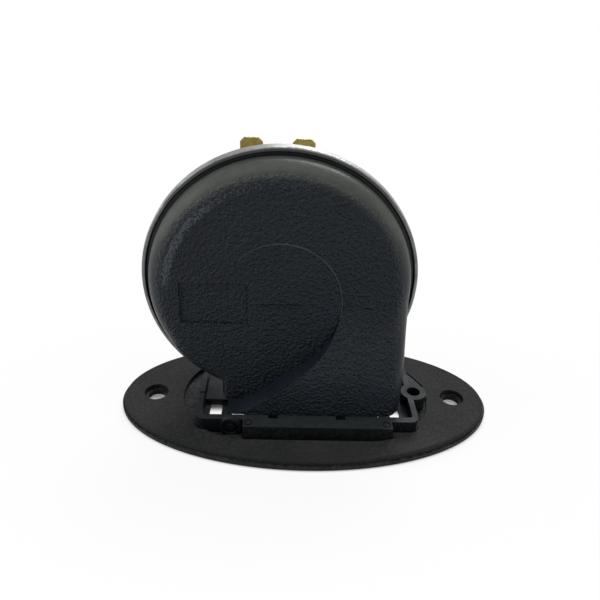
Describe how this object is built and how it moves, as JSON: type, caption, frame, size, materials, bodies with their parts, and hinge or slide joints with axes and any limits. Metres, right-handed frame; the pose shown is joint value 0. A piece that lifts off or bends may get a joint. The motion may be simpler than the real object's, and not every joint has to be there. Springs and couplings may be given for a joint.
{
  "type": "electric boat horn",
  "caption": "Compact snail trumpet horn in a pressed steel can, mouth down in a frame on an oval screw-down face plate with gasket and spade terminals.",
  "frame": {"origin": "centre of the oval face plate's outer face, midway between its two screw holes, which is what the part rests on", "axes": "+Z from the face plate's outer face into the hull, +X along the oval's long axis through both screw holes, +Y from the trumpet towards the coil can"},
  "size_m": [0.1152, 0.0675, 0.0828],
  "materials": {
    "face_plate": "fine satin moulded black",
    "gasket": "matte fine cell foam",
    "mount_collar": "moulded dark plastic",
    "trumpet_front": "leather grained charcoal",
    "trumpet_back": "moulded charcoal",
    "seal": "matte",
    "diaphragm": "rolled spring steel",
    "coil_can": "zinc plated pressed steel",
    "steel": "turned steel",
    "winding": "enamelled copper wire",
    "bobbin": "moulded",
    "brass": "stamped, dull",
    "contact": "stamped spring alloy",
    "insulator": "pressed fibre"
  },
  "bodies": {
    "horn": {"face_plate": "face_plate", "gasket": "gasket", "mount_collar": "mount_collar", "trumpet_front": "trumpet_front", "trumpet_back": "trumpet_back", "front_seal_ring": "seal", "rear_seal_ring": "seal", "diaphragm": "diaphragm", "coil_can": "coil_can", "fixed_core": "steel", "coil_bobbin": "bobbin", "coil_winding": "winding", "pole_plate": "steel", "contact_arm": "contact", "contact_leaf": "contact", "contact_points": "contact", "breaker_insulators": "insulator", "breaker_rivet": "brass", "adjusting_screw": "steel", "terminal_block": "insulator", "terminal_washers": "insulator", "terminal_left": "brass", "terminal_right": "brass", "terminal_rivets": "brass", "stud_washer": "steel", "stud_lock_washer": "steel", "stud_nut": "steel"},
    "armature_body": {"armature": "steel", "diaphragm_front_washer": "steel", "diaphragm_rear_washer": "steel", "armature_nut": "steel"}
  },
  "joints": [
    {"name": "armature_slide", "type": "slide", "parent": "horn", "child": "armature_body", "axis": [0, 1, 0], "range_m": [0, 0.0006], "stiffness_N_per_m": 2000, "deforming": ["diaphragm", "contact_leaf"]}
  ]
}
